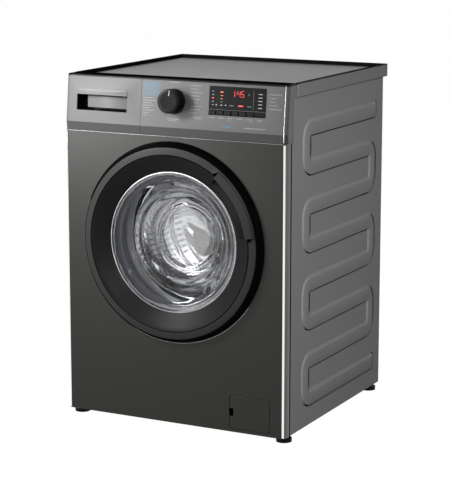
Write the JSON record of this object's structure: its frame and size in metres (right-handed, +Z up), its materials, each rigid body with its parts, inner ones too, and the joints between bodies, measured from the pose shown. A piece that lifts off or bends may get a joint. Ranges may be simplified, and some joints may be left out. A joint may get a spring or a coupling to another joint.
{
  "type": "front load washing machine",
  "caption": "Front loading washing machine with a glazed round door, a slanted control fascia, a detergent drawer, ribbed sides and a belt driven drum in a sprung tub.",
  "frame": {"origin": "centre of the bounding box at floor level", "axes": "+X to the right seen from the front, +Y to the back, +Z up"},
  "size_m": [0.6, 0.6224, 0.85],
  "materials": {
    "painted_steel": "satin dark inox",
    "zinc_steel": "zinc plated",
    "dark_plastic": "fine grained",
    "fascia_plastic": "satin metallic paint on plastic",
    "worktop_laminate": "grey laminate",
    "black_gloss": "gloss black",
    "white_plastic": "plain moulded",
    "black_plastic": "plain moulded",
    "rubber": "soft matt",
    "glass": "clear",
    "stainless": "polished stainless",
    "cast_aluminium": "as cast",
    "concrete": "cast concrete"
  },
  "bodies": {
    "cabinet": {"cabinet_left_side": "painted_steel", "cabinet_right_side": "painted_steel", "rear_panel": "zinc_steel", "base_tray": "dark_plastic", "front_panel": "painted_steel", "control_fascia": "fascia_plastic", "worktop_frame": "dark_plastic", "worktop_board": "worktop_laminate", "display_window": "black_gloss", "control_board": "white_plastic", "dispenser_housing": "white_plastic", "dispenser_hose": "rubber", "inlet_valve": "white_plastic", "door_lock": "white_plastic", "door_gasket": "rubber", "drain_pump": "white_plastic", "sump_hose": "rubber", "damper_tube_left": "dark_plastic", "damper_tube_right": "dark_plastic", "suspension_spring_left": "zinc_steel", "suspension_spring_right": "zinc_steel", "hinge_bracket": "zinc_steel", "cable_gland": "black_plastic"},
    "drawer": {"drawer_front": "fascia_plastic", "drawer_tray": "white_plastic"},
    "door": {"door_outer_ring": "dark_plastic", "door_inner_ring": "black_gloss", "door_glass": "glass", "hinge_arm": "zinc_steel"},
    "handle": {"door_handle": "dark_plastic"},
    "latch": {"latch_hook": "zinc_steel"},
    "knob": {"program_knob": "dark_plastic"},
    "button_1_body": {"button_1": "black_gloss"},
    "button_2_body": {"button_2": "black_gloss"},
    "button_3_body": {"button_3": "black_gloss"},
    "button_4_body": {"button_4": "black_gloss"},
    "button_5_body": {"button_5": "black_gloss"},
    "button_6_body": {"button_6": "black_gloss"},
    "flap": {"pump_flap": "painted_steel"},
    "filter": {"pump_filter": "white_plastic"},
    "tub": {"tub_front": "white_plastic", "tub_rear": "white_plastic", "counterweight": "concrete", "motor": "cast_aluminium", "heater": "stainless", "damper_rod_left": "zinc_steel", "damper_rod_right": "zinc_steel", "bearing_cartridge": "zinc_steel", "drive_belt": "rubber"},
    "drum": {"drum_shell": "stainless", "drum_spider": "cast_aluminium", "drum_pulley": "cast_aluminium", "drum_paddle_1": "white_plastic", "drum_paddle_2": "white_plastic", "drum_paddle_3": "white_plastic"},
    "motor_rotor": {"motor_pulley": "zinc_steel"},
    "front_left_foot_body": {"front_left_foot": "black_plastic"},
    "front_right_foot_body": {"front_right_foot": "black_plastic"},
    "rear_left_foot_body": {"rear_left_foot": "black_plastic"},
    "rear_right_foot_body": {"rear_right_foot": "black_plastic"}
  },
  "joints": [
    {"name": "door_hinge", "type": "hinge", "parent": "cabinet", "child": "door", "pos_m": [-0.222, -0.29681, 0.46], "axis": [0, 0, -1], "range_deg": [0, 125]},
    {"name": "handle_pivot", "type": "hinge", "parent": "door", "child": "handle", "pos_m": [0.19329, -0.30231, 0.57614], "axis": [-0.515, 0, 0.8572], "range_deg": [0, 7.5], "stiffness_Nm_per_rad": 1.5, "springref_deg": -2.86},
    {"name": "latch_pivot", "type": "hinge", "parent": "door", "child": "latch", "pos_m": [0.2, -0.26881, 0.46], "axis": [0, 0, 1], "range_deg": [0, 12]},
    {"name": "drawer_slide", "type": "slide", "parent": "cabinet", "child": "drawer", "axis": [0, -1, 0], "range_m": [0, 0.2]},
    {"name": "knob_turn", "type": "hinge", "parent": "cabinet", "child": "knob", "pos_m": [0.003, -0.27717, 0.798], "axis": [0, -0.9943, 0.1065], "continuous": true},
    {"name": "button_1_press", "type": "slide", "parent": "cabinet", "child": "button_1_body", "axis": [0, 1, 0], "range_m": [0, 0.0015], "stiffness_N_per_m": 400, "springref_m": -0.001},
    {"name": "button_2_press", "type": "slide", "parent": "cabinet", "child": "button_2_body", "axis": [0, 1, 0], "range_m": [0, 0.0015], "stiffness_N_per_m": 400, "springref_m": -0.001},
    {"name": "button_3_press", "type": "slide", "parent": "cabinet", "child": "button_3_body", "axis": [0, 1, 0], "range_m": [0, 0.0015], "stiffness_N_per_m": 400, "springref_m": -0.001},
    {"name": "button_4_press", "type": "slide", "parent": "cabinet", "child": "button_4_body", "axis": [0, 1, 0], "range_m": [0, 0.0015], "stiffness_N_per_m": 400, "springref_m": -0.001},
    {"name": "button_5_press", "type": "slide", "parent": "cabinet", "child": "button_5_body", "axis": [0, 1, 0], "range_m": [0, 0.0015], "stiffness_N_per_m": 400, "springref_m": -0.001},
    {"name": "button_6_press", "type": "slide", "parent": "cabinet", "child": "button_6_body", "axis": [0, 1, 0], "range_m": [0, 0.0015], "stiffness_N_per_m": 400, "springref_m": -0.001},
    {"name": "tub_float", "type": "slide", "parent": "cabinet", "child": "tub", "axis": [0, 0, 1], "range_m": [-0.01, 0.01], "stiffness_N_per_m": 20000, "springref_m": 0.01632, "deforming": ["suspension_spring_left", "suspension_spring_right", "dispenser_hose", "sump_hose", "door_gasket"]},
    {"name": "drum_spin", "type": "hinge", "parent": "tub", "child": "drum", "pos_m": [0, -0.03381, 0.46], "axis": [0, 1, 0], "continuous": true},
    {"name": "motor_spin", "type": "hinge", "parent": "tub", "child": "motor_rotor", "pos_m": [0, 0.16619, 0.128], "axis": [0, 1, 0], "continuous": true},
    {"name": "flap_hinge", "type": "hinge", "parent": "cabinet", "child": "flap", "pos_m": [0.2513, -0.28231, 0.064], "axis": [0, 0, 1], "range_deg": [0, 110]},
    {"name": "filter_turn", "type": "hinge", "parent": "cabinet", "child": "filter", "pos_m": [0.205, -0.26381, 0.064], "axis": [0, 1, 0], "range_deg": [0, 270]},
    {"name": "front_left_foot_screw", "type": "slide", "parent": "cabinet", "child": "front_left_foot_body", "axis": [0, 0, -1], "range_m": [0, 0.015]},
    {"name": "front_right_foot_screw", "type": "slide", "parent": "cabinet", "child": "front_right_foot_body", "axis": [0, 0, -1], "range_m": [0, 0.015]},
    {"name": "rear_left_foot_screw", "type": "slide", "parent": "cabinet", "child": "rear_left_foot_body", "axis": [0, 0, -1], "range_m": [0, 0.015]},
    {"name": "rear_right_foot_screw", "type": "slide", "parent": "cabinet", "child": "rear_right_foot_body", "axis": [0, 0, -1], "range_m": [0, 0.015]}
  ],
  "couplings": [
    {"joint": "latch_pivot", "follows": "handle_pivot", "ratio": 1.6},
    {"joint": "motor_spin", "follows": "drum_spin", "ratio": 14.5}
  ]
}
